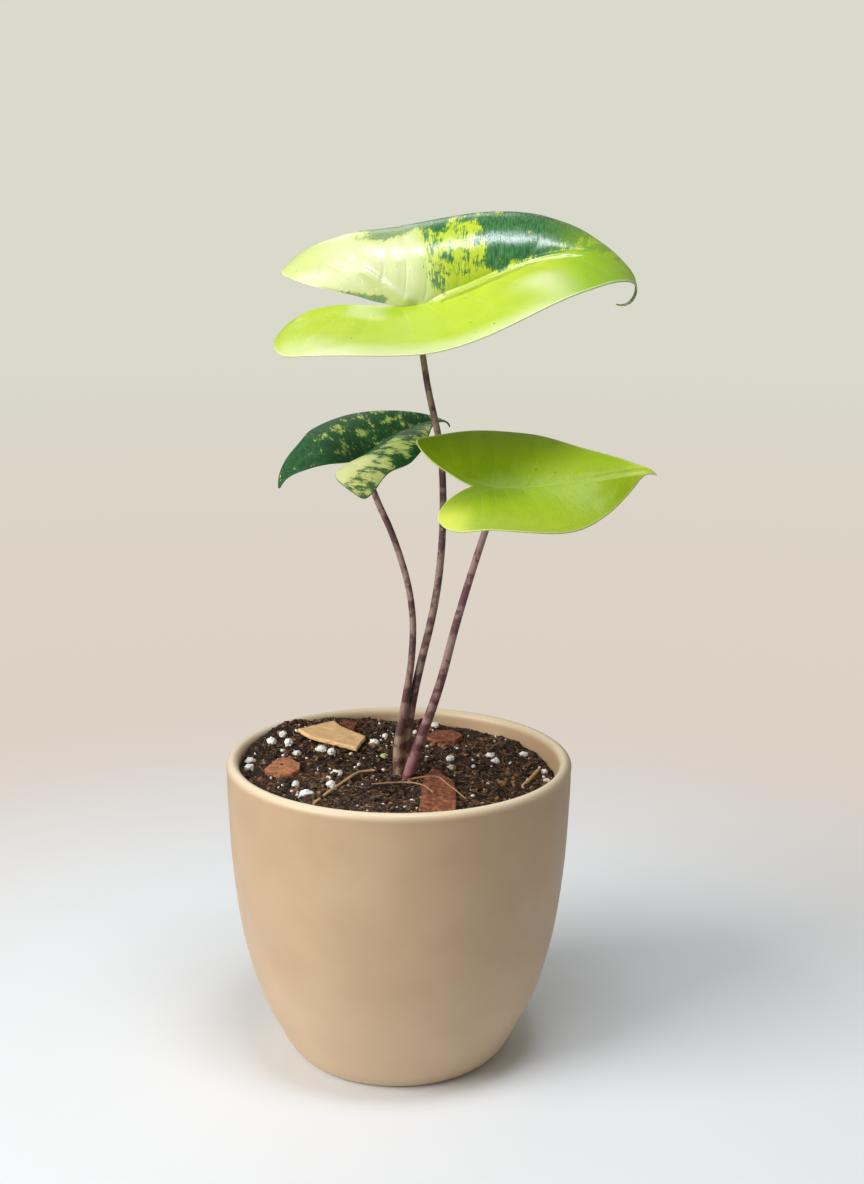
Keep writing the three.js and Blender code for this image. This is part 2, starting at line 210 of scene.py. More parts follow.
# adds a node. Inputs are numbers, colours, sockets, or nodes whose first output is meant.
def addNode(tree, kind, inputs=None, stops=(), **settings):
    node = tree.nodes.new("ShaderNode" + kind)
    for name, value in settings.items():
        setattr(node, name, value)
    if stops:
        ramp = node.color_ramp.elements
        while len(ramp) < len(stops):
            ramp.new(0.5)
        for element, (position, colour) in zip(ramp, stops):
            element.position = position
            element.color = linear(colour)
    for name, value in (inputs or {}).items():
        if isinstance(value, bpy.types.Node):
            value = value.outputs[0]
        if isinstance(value, bpy.types.NodeSocket):
            tree.links.new(value, node.inputs[name])
        elif isinstance(value, str):
            node.inputs[name].default_value = linear(value)
        else:
            node.inputs[name].default_value = value
    return node


def newTree(name):
    material = bpy.data.materials.new(name)
    material.use_nodes = True
    material.node_tree.nodes.clear()
    return material, material.node_tree


# joins colour, roughness and height to one surface
def addSurface(tree, colour, roughness, height, depth, constants):
    bump = addNode(tree, "Bump", {"Height": height, "Distance": depth, "Strength": 1})
    shader = addNode(tree, "BsdfPrincipled", {
        "Base Color": colour, "Roughness": roughness, "Normal": bump, **constants})
    addNode(tree, "OutputMaterial", {"Surface": shader})


# the pot, spun on a wheel and dipped in a satin glaze

potShape = {
    "outline": [  # outside, from the foot to under the lip, as shares of the height and the rim radius
        (0, 0.582), (0.008, 0.608), (0.02, 0.631), (0.05, 0.671), (0.1, 0.717), (0.18, 0.787),
        (0.24, 0.833), (0.31, 0.871), (0.45, 0.927), (0.65, 0.972), (0.85, 0.992), (1, 1),
    ],
    "wall": 4.6 * mm,
    "floor": 6 * mm,
    "grooveBelowRim": 5.6 * mm,
    "grooveDepth": 0.26 * mm,
    "turns": 192,
    "glaze": "#bd9f7e",
    "glazeThin": "#c4a786",
    # the colour of the painted highlight on the lip and the painted bounce light at the foot
    "paintedLipAndFootLight": "#e6d4b6",
}


def glazeMaterial():
    # satin stoneware glaze, dipped: even and soft, with a faint mottle and pin specks
    material, tree = newTree("satinStonewareGlaze")
    place = addNode(tree, "TexCoord").outputs["Object"]
    mottle = addNode(tree, "TexNoise", {
        "Vector": place, "Scale": 1 / (22 * mm), "Detail": 3, "Roughness": 0.5})
    speck = addNode(tree, "TexNoise", {"Vector": place, "Scale": 1 / (1.1 * mm), "Detail": 2})
    colour = addNode(tree, "ValToRGB", {"Fac": mottle}, stops=[
        (0.35, potShape["glaze"]), (0.7, potShape["glazeThin"])])
    speckMask = addNode(tree, "MapRange", {
        "Value": speck, "From Min": 0.68, "From Max": 0.74, "To Max": 0.16})
    spotted = addNode(tree, "MixRGB", {"Fac": speckMask, "Color1": colour, "Color2": "#a97f58"})
    # painted light: a paler colour mixed in by height, a painted highlight over the lip and painted bounce
    # light a little towards the foot
    height = addNode(tree, "SeparateXYZ", {0: place}).outputs["Z"]
    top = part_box("pot")[1].z
    share = addNode(tree, "MapRange", {"Value": height, "From Max": top})
    edges = addNode(tree, "ValToRGB", {"Fac": share}, stops=[
        (0, "#8c8c8c"), (0.16, "#555555"), (0.4, "#000000"), (1 - 3 * mm / top, "#000000"),
        (1 - 1.1 * mm / top, "#bbbbbb"), (1, "#ffffff")])
    spotted = addNode(tree, "MixRGB", {
        "Fac": edges, "Color1": spotted, "Color2": potShape["paintedLipAndFootLight"]})
    rough = addNode(tree, "MapRange", {"Value": mottle, "To Min": 0.4, "To Max": 0.5})
    orangePeel = addNode(tree, "TexNoise", {"Vector": place, "Scale": 1 / (0.9 * mm), "Detail": 3})
    addSurface(tree, spotted, rough, orangePeel, 0.02 * mm,
               {"IOR": 1.5, "Coat Weight": 0.12, "Coat Roughness": 0.35})
    return material


def potProfile():
    low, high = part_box("pot")
    height = high.z - low.z
    rim = (high.x - low.x) / 2
    wall, floor = potShape["wall"], potShape["floor"]
    outline = [(r * rim, z * height) for z, r in potShape["outline"]]
    outer = throughPoints(outline, 8)
    lip = wall / 2
    foot = outline[0][0]
    points = [(0, 0), (foot * 0.5, 0), (foot - mm, 0)]
    for r, z in outer:
        if z < height - lip:
            fromGroove = (height - z - potShape["grooveBelowRim"]) / (0.7 * mm)
            points.append((r - potShape["grooveDepth"] * math.exp(-fromGroove ** 2), z))
    for i in range(13):
        angle = math.pi * i / 12
        points.append((rim - lip + lip * math.cos(angle), height - lip + lip * math.sin(angle)))
    inner = [(r - wall, z) for r, z in outer[::-1] if floor + 4 * mm < z < height - lip]
    points += inner
    inside = inner[-1][0]
    points += [(inside - 1.2 * mm, floor + 1.6 * mm), (inside - 4 * mm, floor), (0, floor)]
    return points


def makePot():
    profile = potProfile()
    deselectAll()
    bpy.ops.mesh.primitive_plane_add(size=1 * mm)
    piece = bpy.context.object
    bpy.ops.object.mode_set(mode="EDIT")
    bpy.ops.mesh.merge(type="CENTER")
    for start, end in zip(profile, profile[1:]):
        step = (end[0] - start[0], 0, end[1] - start[1])
        bpy.ops.mesh.extrude_region_move(TRANSFORM_OT_translate={"value": step})
    bpy.ops.mesh.select_all(action="SELECT")
    bpy.ops.mesh.spin(steps=potShape["turns"], angle=math.tau, center=(0, 0, 0), axis=(0, 0, 1))
    cleanMesh(piece, 0.005 * mm)
    finishPiece(piece, "stonewarePot", [glazeMaterial()], ["pot"], 40)


# the potting mix: peat with crumbs, bark bits, fibres and perlite specks

soilShape = {
    "cell": 0.5 * mm,
    "heaps": 1.1,           # how high each kind of unevenness stands, in mm
    "lumps": 1.5,
    "crumbs": 0.75,
    "grit": 0.35,
    "fibres": 1700,
    "hollow": {"at": (-1.5 * mm, -19 * mm), "depth": 2.6 * mm, "width": 6.5 * mm},
    "mound": {"at": (44 * mm, 34 * mm), "depth": -1.6 * mm, "width": 11 * mm},
}
soilTree = {}
# noise_vector differs from run to run without a seed
noise.seed_set(7)


def soilLevel(x, y):
    hit = soilTree["cad"].ray_cast(Vector((x, y, 1)), Vector((0, 0, -1)))[0]
    return hit.z if hit else None


# how far the peat stands above the plain bed: soft heaps, lumps, and crumbs at two sizes
def soilRise(x, y):
    p = Vector((x, y, 0)) / mm
    rise = soilShape["heaps"] * noise.fractal(p / 13, 1.0, 2.1, 3)
    lumps = noise.voronoi(p / 5.2 + 0.25 * noise.noise_vector(p / 3))[0]
    rise += soilShape["lumps"] * (0.5 - lumps[0]) * (0.6 + 0.8 * noise.noise(p / 11))
    rise += soilShape["crumbs"] * (0.5 - noise.voronoi(p / 1.9)[0][0])
    rise += soilShape["grit"] * noise.noise(p / 0.8)
    for dip in (soilShape["hollow"], soilShape["mound"]):
        far = math.dist((x, y), dip["at"]) / dip["width"]
        rise -= dip["depth"] / mm * math.exp(-far ** 2)
    return rise * mm


def peatMaterial():
    # damp peat and coir: near black, matt, with rusty fibres and a few paler crumbs
    material, tree = newTree("dampPeat")
    place = addNode(tree, "TexCoord").outputs["Object"]
    tone = addNode(tree, "Attribute", attribute_name="tone").outputs["Fac"]
    grain = addNode(tree, "TexNoise", {
        "Vector": place, "Scale": 1 / (2.2 * mm), "Detail": 8, "Roughness": 0.7})
    patch = addNode(tree, "TexNoise", {"Vector": place, "Scale": 1 / (9 * mm), "Detail": 3})
    spread = addNode(tree, "Math", {0: patch, 1: 0.5, 2: grain}, operation="MULTIPLY_ADD")
    lifted = addNode(tree, "Math", {0: tone, 1: 0.26, 2: spread}, operation="MULTIPLY_ADD")
    colour = addNode(tree, "ValToRGB", {"Fac": lifted}, stops=[
        (0.52, "#120c0a"), (0.76, "#2b1f19"), (0.95, "#573f31"), (1.0, "#92704e")])
    rough = addNode(tree, "MapRange", {"Value": grain, "To Min": 0.62, "To Max": 1.0})
    fine = addNode(tree, "TexNoise", {"Vector": place, "Scale": 1 / (0.5 * mm), "Detail": 4})
    addSurface(tree, colour, rough, fine, 0.25 * mm, {"Specular IOR Level": 0.35})
    return material


def soilRadius():
    low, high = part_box("soil")
    return (high.x - low.x) / 2


# moves the selected edge points to this distance from the middle
def drawEdge(piece, radius, z=None):
    places = getPlaces(piece)
    edge = np.empty(len(places), bool)
    piece.data.vertices.foreach_get("select", edge)
    places[edge, :2] *= (radius / np.hypot(places[edge, 0], places[edge, 1]))[:, None]
    if z is not None:
        places[edge, 2] = z
    setPlaces(piece, places)
    return places


def makeSoil():
    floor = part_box("soil")[0].z
    soilTree["cad"] = surfaceOf(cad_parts["soil"])
    radius = soilRadius()
    count = int(2 * radius / soilShape["cell"])
    deselectAll()
    bpy.ops.mesh.primitive_grid_add(x_subdivisions=count, y_subdivisions=count, size=2 * radius)
    piece = bpy.context.object
    places = getPlaces(piece)
    selectPoints(piece, np.hypot(places[:, 0], places[:, 1]) > radius)
    bpy.ops.mesh.delete(type="VERT")
    bpy.ops.mesh.select_all(action="DESELECT")
    bpy.ops.mesh.select_non_manifold(extend=False)
    bpy.ops.object.mode_set(mode="OBJECT")
    # the ragged edge is drawn out to the wall
    places = drawEdge(piece, radius)
    for i, (x, y, _) in enumerate(places):
        fromCentre = max(math.hypot(x, y), mm)
        inward = min(1, (radius - 0.2 * mm) / fromCentre)
        level = soilLevel(x * inward, y * inward)
        # where the bed lies lower, the wall is nearer
        while level is None:
            inward -= 0.2 * mm / fromCentre
            level = soilLevel(x * inward, y * inward)
        places[i, 2] = level + soilRise(x, y)
    setPlaces(piece, places)
    # the sides go down to the pot's floor
    bpy.ops.object.mode_set(mode="EDIT")
    for share in (0.93, 0.7, 0.45, 0.2, 0.01):
        z = floor + (places[:, 2].min() - floor) * share
        bpy.ops.mesh.extrude_region_move()
        bpy.ops.object.mode_set(mode="OBJECT")
        drawEdge(piece, max(math.hypot(p.x, p.y) for p in cutPoints("soil", (0, 0, z), (0, 0, 1))), z)
        bpy.ops.object.mode_set(mode="EDIT")
    bpy.ops.mesh.fill()
    cleanMesh(piece)
    setAttribute(piece, "tone", [0.3 * noise.noise(Vector(p) / (4 * mm)) for p in getPlaces(piece)])
    soilTree["fine"] = surfaceOf(piece)
    finishPiece(piece, "pottingMix", [peatMaterial()], ["soil"])


def topOfSoil(x, y):
    return soilTree["fine"].ray_cast(Vector((x, y, 1)), Vector((0, 0, -1)))[0]


# loose matter on the peat. Size is the least, what chance adds and how rare the large are, in mm.
# Shares are the least and most of the length, width and height, where they vary.
looseShapes = {
    "peatCrumbs": {
        "slot": "potting_mix", "count": 5200, "rounds": 1, "size": (0.4, 2.4, 5),
        "shares": ((0.8, 1.7), None, (0.5, 1)), "sunk": 0.35,
    },
    "barkBits": {
        "slot": "bark", "count": 230, "rounds": 2, "size": (1.0, 4.2, 3),
        "shares": (None, (0.3, 0.8), (0.12, 0.28)), "sunk": 0.3,
    },
    "perliteSpecks": {
        "slot": "perlite", "count": 380, "rounds": 1, "size": (0.4, 1.3, 3),
        "shares": ((0.8, 1.25), None, (0.7, 1)), "sunk": 0.3,
    },
}


# one small lump, copied many times into one mesh, each copy turned, stretched and dented
def scatter(name, material):
    shape = looseShapes[name]
    least, more, rare = shape["size"]
    deselectAll()
    bpy.ops.mesh.primitive_ico_sphere_add(subdivisions=shape["rounds"], radius=1)
    seedPiece = bpy.context.object
    seed = getPlaces(seedPiece)
    faces = np.array([tuple(p.vertices) for p in seedPiece.data.polygons])
    bpy.data.objects.remove(seedPiece)
    chance = random.Random(name)
    radius = soilRadius()
    allPlaces, allFaces, tones = [], [], []
    while len(allFaces) < shape["count"]:
        whole = (least + more * chance.random() ** rare) * mm
        size = [whole * (chance.uniform(*share) if share else 1) for share in shape["shares"]]
        reach = (radius - 0.55 * max(size)) * math.sqrt(chance.random())
        angle = chance.uniform(0, math.tau)
        x, y = reach * math.cos(angle), reach * math.sin(angle)
        ground = topOfSoil(x, y)
        if ground is None:
            continue
        turn = np.array(Euler([chance.uniform(-0.5, 0.5), chance.uniform(-0.5, 0.5),
                               chance.uniform(0, math.tau)]).to_matrix())
        dents = np.array([1 + chance.uniform(-0.38, 0.38) for _ in seed])[:, None]
        middle = np.array([x, y, ground.z + size[2] * (0.5 - shape["sunk"])])
        allFaces.append(faces + len(allPlaces) * len(seed))
        allPlaces.append((seed * dents * np.array(size) / 2) @ turn.T + middle)
        tones.append(np.full(len(seed), chance.random()))
    piece = addMesh(name, np.concatenate(allPlaces).tolist(), np.concatenate(allFaces).tolist())
    setAttribute(piece, "tone", np.concatenate(tones))
    finishPiece(piece, name, [material])


# thin coir fibres lying every way on the peat
def makeFibres(material):
    chance = random.Random(7)
    radius = soilRadius() - 2 * mm
    places, faces, tones = [], [], []
    sides, steps = 3, 5
    while len(tones) < soilShape["fibres"] * sides * (steps + 1):
        length = chance.uniform(1.5, 8) * mm
        thick = chance.uniform(0.04, 0.11) * mm
        reach, angle = radius * math.sqrt(chance.random()), chance.uniform(0, math.tau)
        x, y = reach * math.cos(angle), reach * math.sin(angle)
        heading, bend = chance.uniform(0, math.tau), chance.uniform(-0.5, 0.5)
        tone = chance.random()
        start = len(places)
        for i in range(steps + 1):
            ground = topOfSoil(x, y)
            z = (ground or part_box("soil")[1]).z + thick * 2 + chance.uniform(0, 0.5) * mm
            side = Vector((-math.sin(heading), math.cos(heading), 0))
            for k in range(sides):
                around = math.tau * k / sides
                places.append(Vector((x, y, z)) + side * thick * math.cos(around)
                              + Vector((0, 0, thick * math.sin(around))))
                tones.append(tone)
            x += math.cos(heading) * length / steps
            y += math.sin(heading) * length / steps
            heading += bend
            if math.hypot(x, y) > radius:
                heading += math.pi / 2
        for i in range(steps):
            for k in range(sides):
                a, b = start + i * sides + k, start + i * sides + (k + 1) % sides
                faces.append((a, b, b + sides, a + sides))
        faces.append(tuple(start + k for k in reversed(range(sides))))
        faces.append(tuple(start + steps * sides + k for k in range(sides)))
    piece = addMesh("coirFibres", places, faces)
    setAttribute(piece, "tone", tones)
    cleanMesh(piece)
    finishPiece(piece, "coirFibres", [material])


# bark_chip_left gives barkChipLeft
def camelName(node):
    first, *rest = node.split("_")
    return first + "".join(word.title() for word in rest)


# a plain mottled material between two tones, used for wood, bark, fibre and perlite
def mottledMaterial(name, stops, feature, roughness, bumpDepth, stretch=(1, 1, 1), specular=0.4):
    material, tree = newTree(name)
    place = addNode(tree, "TexCoord").outputs["Object"]
    along = addNode(tree, "Mapping", {"Vector": place, "Scale": stretch})
    tone = addNode(tree, "Attribute", attribute_name="tone").outputs["Fac"]
    grain = addNode(tree, "TexNoise", {
        "Vector": along, "Scale": 1 / feature, "Detail": 7, "Roughness": 0.65})
    mixed = addNode(tree, "Math", {0: tone, 1: 0.5, 2: grain}, operation="MULTIPLY_ADD")
    colour = addNode(tree, "ValToRGB", {"Fac": mixed}, stops=stops)
    rough = addNode(tree, "MapRange", {
        "Value": grain, "To Min": roughness - 0.1, "To Max": roughness + 0.1})
    addSurface(tree, colour, rough, grain, bumpDepth, {"Specular IOR Level": specular})
    return material


# chips of wood and bark on the soil: their CAD slabs, weathered

chipShapes = {  # sunk and rough are in mm, and turn is the way of the grain in degrees
    "wood_chip": {"sunk": 0.1, "rough": 0.5, "turn": 20, "tone": 0.5},
    "bark_chip_dark": {"sunk": 0.5, "rough": 1.0, "turn": 70, "tone": 0.45},
    "bark_chip_left": {"sunk": 1.1, "rough": 1.1, "turn": 10, "tone": 0.9},
    "bark_chip_back": {"sunk": 1.3, "rough": 1.2, "turn": 40, "tone": 0.6},
    "bark_chip_front": {"sunk": 0.4, "rough": 1.0, "turn": 80, "tone": 0.6},
}


def makeChip(node, material):
    shape = chipShapes[node]
    piece = joinedCopy(node)
    applyModifier(piece, "REMESH", mode="VOXEL", voxel_size=0.32 * mm)
    places = getPlaces(piece)
    normals = np.array([v.normal for v in piece.data.vertices])
    turn = math.radians(shape["turn"])
    for i, place in enumerate(places):
        p = Vector(place) / mm
        along = p.x * math.cos(turn) + p.y * math.sin(turn)
        across = -p.x * math.sin(turn) + p.y * math.cos(turn)
        layers = noise.fractal(Vector((along / 7, across / 1.6, p.z / 1.2)), 1.0, 2.0, 3)
        lumps = noise.noise(p / 4.5)
        push = shape["rough"] * (0.2 * layers + 0.4 * lumps - 0.1) * mm
        places[i] += normals[i] * push
    places[:, 2] -= shape["sunk"] * mm
    setPlaces(piece, places)
    applyModifier(piece, "SMOOTH", factor=0.5, iterations=4)
    setAttribute(piece, "tone", np.full(len(piece.data.vertices), shape["tone"]))
    finishPiece(piece, camelName(node), [material], [node], 50)


# twigs and roots, along the middles of their CAD rods

rodShapes = {
    "twig_long": {"towards": (1, 1.7, 0), "thicker": 0.85},
    "twig_right": {"towards": (0.3, 1, 0), "thicker": 1.0},
    "root_short": {"towards": (1, -0.3, 0), "thicker": 0.8},
    "root_long": {"towards": (1, -0.6, 0), "thicker": 0.8},
}


def addTube(path, radii):
    deselectAll()
    bpy.ops.curve.primitive_nurbs_path_add()
    curve = bpy.context.object
    spline = curve.data.splines[0]
    spline.points.add(len(path) - len(spline.points))
    for point, place, radius in zip(spline.points, path, radii):
        point.co = (*place, 1)
        point.radius = radius / mm
    spline.order_u = 4
    spline.use_endpoint_u = True
    spline.resolution_u = 4
    curve.data.bevel_depth = mm
    curve.data.bevel_resolution = 4
    curve.data.use_fill_caps = True
    bpy.ops.object.convert(target="MESH")
    piece = bpy.context.object
    cleanMesh(piece, 0.002 * mm)
    return piece


def makeRod(node, material):
    shape = rodShapes[node]
    path, radii = centreline(node, 14, shape["towards"])
    chance = random.Random(node)
    radii = [r * shape["thicker"] * chance.uniform(0.85, 1.15) for r in radii]
    if node == "twig_long":
        radii[-5] *= 1.5   # the knob where a side shoot broke off
    piece = addTube(path, radii)
    setAttribute(piece, "tone", np.full(len(piece.data.vertices), 0.5))
    finishPiece(piece, camelName(node), [material], [node], 60)


# perlite: puffed white grains, half sunk in the peat

def makePerlite(node, material, index):
    low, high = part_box(node)
    size = max(high.x - low.x, high.y - low.y)
    deselectAll()
    bpy.ops.mesh.primitive_ico_sphere_add(
        subdivisions=4, radius=size / 2, location=((low + high) / 2).to_tuple())
    piece = bpy.context.object
    bpy.ops.object.transform_apply(location=True, rotation=True, scale=True)
    places = getPlaces(piece)
    middle = np.array((low + high) / 2)
    chance = random.Random(index)
    shift = Vector((chance.uniform(0, 50), chance.uniform(0, 50), chance.uniform(0, 50)))
    stretch = np.array([chance.uniform(0.85, 1.2), chance.uniform(0.8, 1.1), chance.uniform(0.7, 0.95)])
    for i, place in enumerate(places):
        away = Vector(place - middle).normalized()
        lumps = noise.voronoi(away * 1.5 + shift)[0][0]
        puff = 1.28 - 0.55 * lumps + 0.14 * noise.noise(away * 4 + shift)
        places[i] = middle + np.array(away) * (size / 2) * puff * stretch
    ground = topOfSoil(middle[0], middle[1]).z
    places[:, 2] += ground + 0.22 * size - middle[2]
    setPlaces(piece, places)
    setAttribute(piece, "tone", np.full(len(places), chance.random()))
    finishPiece(piece, "perliteGrain" + node[-2:], [material], [node])


def makeBead():
    low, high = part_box("fertiliser_bead")
    deselectAll()
    middle = (low + high) / 2
    bpy.ops.mesh.primitive_uv_sphere_add(
        segments=32, ring_count=20, radius=(high.x - low.x) * 0.48, location=middle.to_tuple())
    piece = bpy.context.object
    bpy.ops.object.transform_apply(location=True, rotation=True, scale=True)
    places = getPlaces(piece)
    ground = topOfSoil(middle.x, middle.y).z
    for i, place in enumerate(places):
        away = Vector(place) - middle
        places[i] += np.array(away) * 0.12 * noise.noise(away / (1.1 * mm))
    places[:, 2] += ground + 0.25 * (high.z - low.z) - middle.z
    setPlaces(piece, places)
    setAttribute(piece, "tone", np.full(len(places), 0.5))
    # resin-coated feed bead: pale green, waxy
    material = mottledMaterial("resinCoatedBead", [(0.4, "#aab65c"), (0.9, "#d9dd9a")],
                               1.2 * mm, 0.45, 0.03 * mm)
    finishPiece(piece, "feedBead", [material], ["fertiliser_bead"])


# leaf stalks

stalkShape = {
    "cuts": 34,
    "ground": 108 * mm,
    "footSwell": 1.36,      # the two older stalks swell and fuse at the foot
    "swellHeight": 14 * mm,
    "seatAt": 0.8,          # how far ahead of the notch the stalk meets the blade, in mm
    "fuseVoxel": 0.26 * mm,
}


def stalkMaterial(name, foot, middle, top, band):
    # living leaf stalk: smooth and faintly waxy, mauve-brown, with irregular maroon bands
    material, tree = newTree(name)
    place = addNode(tree, "TexCoord").outputs["Object"]
    height = addNode(tree, "SeparateXYZ", {0: place}).outputs["Z"]
    climb = addNode(tree, "MapRange", {
        "Value": height, "From Min": stalkShape["ground"], "From Max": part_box("petiole_tall")[1].z})
    colour = addNode(tree, "ValToRGB", {"Fac": climb}, stops=[
        (0.0, foot), (0.16, middle), (0.75, middle), (1.0, top)])
    banding = addNode(tree, "Mapping", {
        "Vector": place, "Scale": (1 / (7 * mm), 1 / (7 * mm), 1 / (4.8 * mm))})
    bands = addNode(tree, "TexNoise", {"Vector": banding, "Scale": 1, "Detail": 2.5, "Roughness": 0.55})
    streaking = addNode(tree, "Mapping", {
        "Vector": place, "Scale": (1 / (0.7 * mm), 1 / (0.7 * mm), 1 / (9 * mm))})
    streaks = addNode(tree, "TexNoise", {
        "Vector": streaking, "Scale": 1, "Detail": 4, "Roughness": 0.6})
    mixed = addNode(tree, "Math", {0: streaks, 1: 0.35, 2: bands}, operation="MULTIPLY_ADD")
    bandMask = addNode(tree, "MapRange", {
        "Value": mixed, "From Min": 0.61, "From Max": 0.75, "To Max": 0.85},
        interpolation_type="SMOOTHSTEP")
    streakMask = addNode(tree, "MapRange", {
        "Value": streaks, "From Min": 0.35, "From Max": 0.7, "To Min": 0.25, "To Max": 0})
    for share, over in ((bandMask, band), (streakMask, "#4a3230")):
        colour = addNode(tree, "MixRGB", {"Fac": share, "Color1": colour, "Color2": over})
    rough = addNode(tree, "MapRange", {"Value": streaks, "To Min": 0.38, "To Max": 0.55})
    addSurface(tree, colour, rough, streaks, 0.12 * mm, {
        "Subsurface Weight": 0.08, "Subsurface Radius": (1, 0.5, 0.35), "Subsurface Scale": 0.8 * mm})
    return material


def stalkTube(node, swell, seat):
    path, radii = centreline(node, stalkShape["cuts"], (0, 0, 1))
    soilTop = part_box("soil")[1].z
    for i, place in enumerate(path):
        aboveSoil = max(0, place.z - soilTop)
        radii[i] *= 1 + (swell - 1) * math.exp(-(aboveSoil / stalkShape["swellHeight"]) ** 2)
    # the top narrows as it runs into the midrib
    radii = radii[:-1] + [radii[-2] * 1.05, radii[-2] * 0.95, radii[-2] * 0.5]
    return addTube(path + [path[-1].lerp(seat, 0.6), seat], radii)


def makeStalks(seats):
    swell = stalkShape["footSwell"]
    tall = stalkTube("petiole_tall", swell, seats["leaf_large"])
    left = stalkTube("petiole_left", swell, seats["leaf_marbled"])
    deselectAll()
    left.select_set(True)
    tall.select_set(True)
    bpy.context.view_layer.objects.active = tall
    bpy.ops.object.join()
    applyModifier(tall, "REMESH", mode="VOXEL", voxel_size=stalkShape["fuseVoxel"])
    applyModifier(tall, "SMOOTH", factor=0.5, iterations=6)
    mauve = stalkMaterial("mauveStalk", "#b8a07c", "#a68a80", "#b0a26c", "#54303a")
    finishPiece(tall, "olderStalks", [mauve], ["petiole_tall", "petiole_left"])
    right = stalkTube("petiole_right", 1.05, seats["leaf_lime"])
    pink = stalkMaterial("pinkStalk", "#ac727c", "#a88a86", "#a8967c", "#62323c")
    finishPiece(right, "youngerStalk", [pink], ["petiole_right"])


# leaves. Each is drawn flat along its midrib, in millimetres, and then bent.
# A list of three is the value at the stalk, what the tip adds, and what the lobes add, in degrees.

leafShapes = {
    "leaf_large": {
        "name": "largeLeaf", "slot": "leaf_two_tone", "rings": 100, "perStretch": 16,
        "relief": 0.4, "veinTint": 0.07, "rib": 1.3, "foldRound": 3,
        "apexLength": 99.7, "lobeLength": 44, "halfWidth": 44, "rightLobeLonger": 0.18,
        "outline": [
            (-0.11, 0), (-0.45, 0.043), (-0.81, 0.14), (-0.98, 0.33), (-1.01, 0.55),
            (-0.9, 0.78), (-0.47, 0.98), (0, 1), (0.32, 0.88), (0.6, 0.655), (0.8, 0.27), (0.87, 0.06),
            (0.94, 0.04), (1, 0),
        ],
        "heading": (4, 5, -22), "pitch": (9, (111, -208), (-74, 98)), "hook": (0.77, -111),
        "roll": (35, -56, -4),
        "left": ((63, -69, 2), (-107, 17, -40)), "right": ((5, -46, 10), (25, -25, -47)),
    },
    "leaf_lime": {
        "name": "limeLeaf", "slot": "leaf_lime", "rings": 70, "perStretch": 15,
        "relief": 0.25, "veinTint": 0.06, "rib": 0, "foldRound": 2,
        "apexLength": 56.3, "lobeLength": 32.2, "halfWidth": 29.7, "rightLobeLonger": -0.38,
        "outline": [
            (-0.31, 0), (-0.47, 0.08), (-0.84, 0.32), (-1, 0.53), (-0.86, 0.67), (-0.42, 0.93),
            (0, 1), (0.31, 0.91), (0.6, 0.53), (0.8, 0.235), (0.89, 0.085), (1, 0),
        ],
        "heading": (-3, 8, 9), "pitch": (-3, (50, -44), (-4, -15)), "hook": (0.88, -47),
        "roll": (22, 16, 13),
        "left": ((22, -30, -14), (-21, -28, 4)), "right": ((-15, -39, -27), (36, -31, -8)),
    },
    "leaf_marbled": {
        "name": "marbledLeaf", "slot": "leaf_marbled", "rings": 70, "perStretch": 15,
        "relief": 0.5, "veinTint": 0.05, "rib": 0, "foldRound": 1.5,
        "apexLength": 45.2, "lobeLength": 25.7, "halfWidth": 25.5, "rightLobeLonger": 0.09,
        "outline": [
            (-0.12, 0), (-0.47, 0.125), (-0.91, 0.39), (-1, 0.87), (-0.84, 1), (-0.43, 0.94),
            (0, 1), (0.29, 0.87), (0.6, 0.49), (0.8, 0.23), (0.92, 0.07), (1, 0),
        ],
        "heading": (50, -13, 1), "pitch": (20, (-5, -17), (-36, 37)), "hook": (0.88, -71),
        "roll": (-3, 7, -1),
        "left": ((44, -9, -14), (-42, -11, -47)), "right": ((39, -13, -12), (-80, -2, 2)),
    },
}
leafThickness = 0.5 * mm


# which way the midrib runs, and what is level across it, at these shares of its length
def midribDirection(leaf, share):
    start, tip, lobes = leaf["pitch"]
    hookFrom, hookAngle = leaf["hook"]
    ahead = share > 0
    reach = np.abs(share)
    hooked = np.maximum(0, (share - hookFrom) / (1 - hookFrom)) ** 1.5
    climb = np.radians(start + np.where(ahead, tip[0], lobes[0]) * reach
                       + np.where(ahead, tip[1], lobes[1]) * reach ** 2 + hookAngle * hooked)
    turn = np.radians(leaf["heading"][0]
                      + np.where(ahead, leaf["heading"][1], leaf["heading"][2]) * reach)
    along = np.stack([np.cos(climb) * np.cos(turn), np.cos(climb) * np.sin(turn), np.sin(climb)], -1)
    across = np.stack([-np.sin(turn), np.cos(turn), 0 * turn], -1)
    return along, across


def midribTable(leaf):
    tables = []
    for length, way in ((leaf["lobeLength"] * 1.3, -1), (leaf["apexLength"] * 1.03, 1)):
        steps = 600
        step = way * length / steps
        s = (np.arange(steps) + 0.5) * step
        along, _ = midribDirection(leaf, s / (leaf["apexLength"] if way > 0 else leaf["lobeLength"]))
        path = np.vstack([np.zeros(3), np.cumsum(along * step, axis=0)])
        tables.append((np.arange(steps + 1) * step, path))
    (back, backPath), (ahead, aheadPath) = tables
    return np.concatenate([back[:0:-1], ahead]), np.vstack([backPath[:0:-1], aheadPath])


